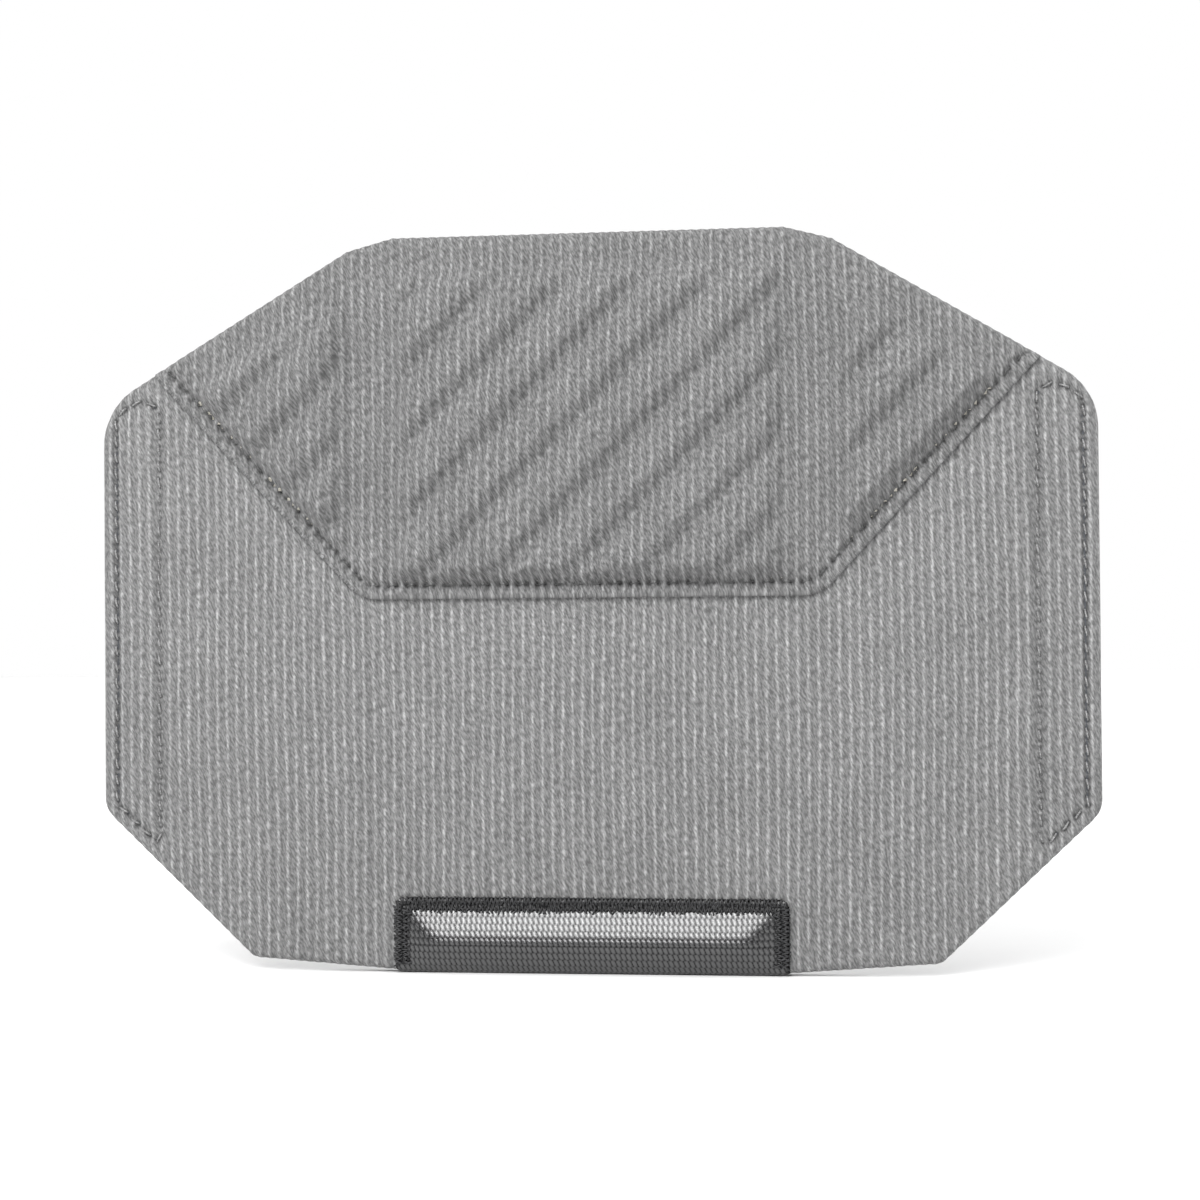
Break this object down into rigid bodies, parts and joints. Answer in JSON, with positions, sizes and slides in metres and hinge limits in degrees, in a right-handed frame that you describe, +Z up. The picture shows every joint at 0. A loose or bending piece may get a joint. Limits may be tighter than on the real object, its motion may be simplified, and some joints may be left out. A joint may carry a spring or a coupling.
{
  "type": "back protector",
  "caption": "Fabric-covered back protector with a channelled padded yoke, folding side wings with hook tape behind, and a ribbon grip on the lower edge.",
  "frame": {"origin": "centre of the centre section's flat rear face, which lies in the plane y = 0", "axes": "+X to the right and +Z up as seen from the front (the outer face); the outer face looks along -Y and the wearer's back is on the +Y side"},
  "size_m": [0.302, 0.0152, 0.2228],
  "materials": {
    "ribbed_fabric": "matte, ribbed heather knit",
    "impact_core": "matte",
    "comfort_foam": "matte, open-cell foam",
    "lining": "matte, warp-knit mesh",
    "pad_foam": "matte, closed-cell foam",
    "thread": "satin polyester thread",
    "hook_tape": "matte, moulded-hook pile",
    "ribbon": "glossy, coarse satin weave"
  },
  "bodies": {
    "centre": {"face_panel_centre": "ribbed_fabric", "core_plate_centre": "impact_core", "comfort_foam_centre": "comfort_foam", "rear_lining_centre": "lining", "yoke_pad_centre": "pad_foam", "yoke_cover_centre": "ribbed_fabric", "yoke_topstitch_centre": "thread", "grip_ribbon": "ribbon", "grip_filler": "pad_foam", "grip_stitches": "thread"},
    "left_wing": {"face_panel_left": "ribbed_fabric", "core_plate_left": "impact_core", "comfort_foam_left": "comfort_foam", "rear_lining_left": "lining", "yoke_pad_left": "pad_foam", "yoke_cover_left": "ribbed_fabric", "yoke_topstitch_left": "thread", "hook_tape_left": "hook_tape", "hook_tape_stitches_left": "thread"},
    "right_wing": {"face_panel_right": "ribbed_fabric", "core_plate_right": "impact_core", "comfort_foam_right": "comfort_foam", "rear_lining_right": "lining", "yoke_pad_right": "pad_foam", "yoke_cover_right": "ribbed_fabric", "yoke_topstitch_right": "thread", "hook_tape_right": "hook_tape", "hook_tape_stitches_right": "thread"}
  },
  "joints": [
    {"name": "left_fold", "type": "hinge", "parent": "centre", "child": "left_wing", "pos_m": [-0.0665, 0, 0], "axis": [0, 0, -1], "range_deg": [-10, 60], "stiffness_Nm_per_rad": 0.05},
    {"name": "right_fold", "type": "hinge", "parent": "centre", "child": "right_wing", "pos_m": [0.0665, 0, 0], "axis": [0, 0, 1], "range_deg": [-10, 60], "stiffness_Nm_per_rad": 0.05}
  ]
}
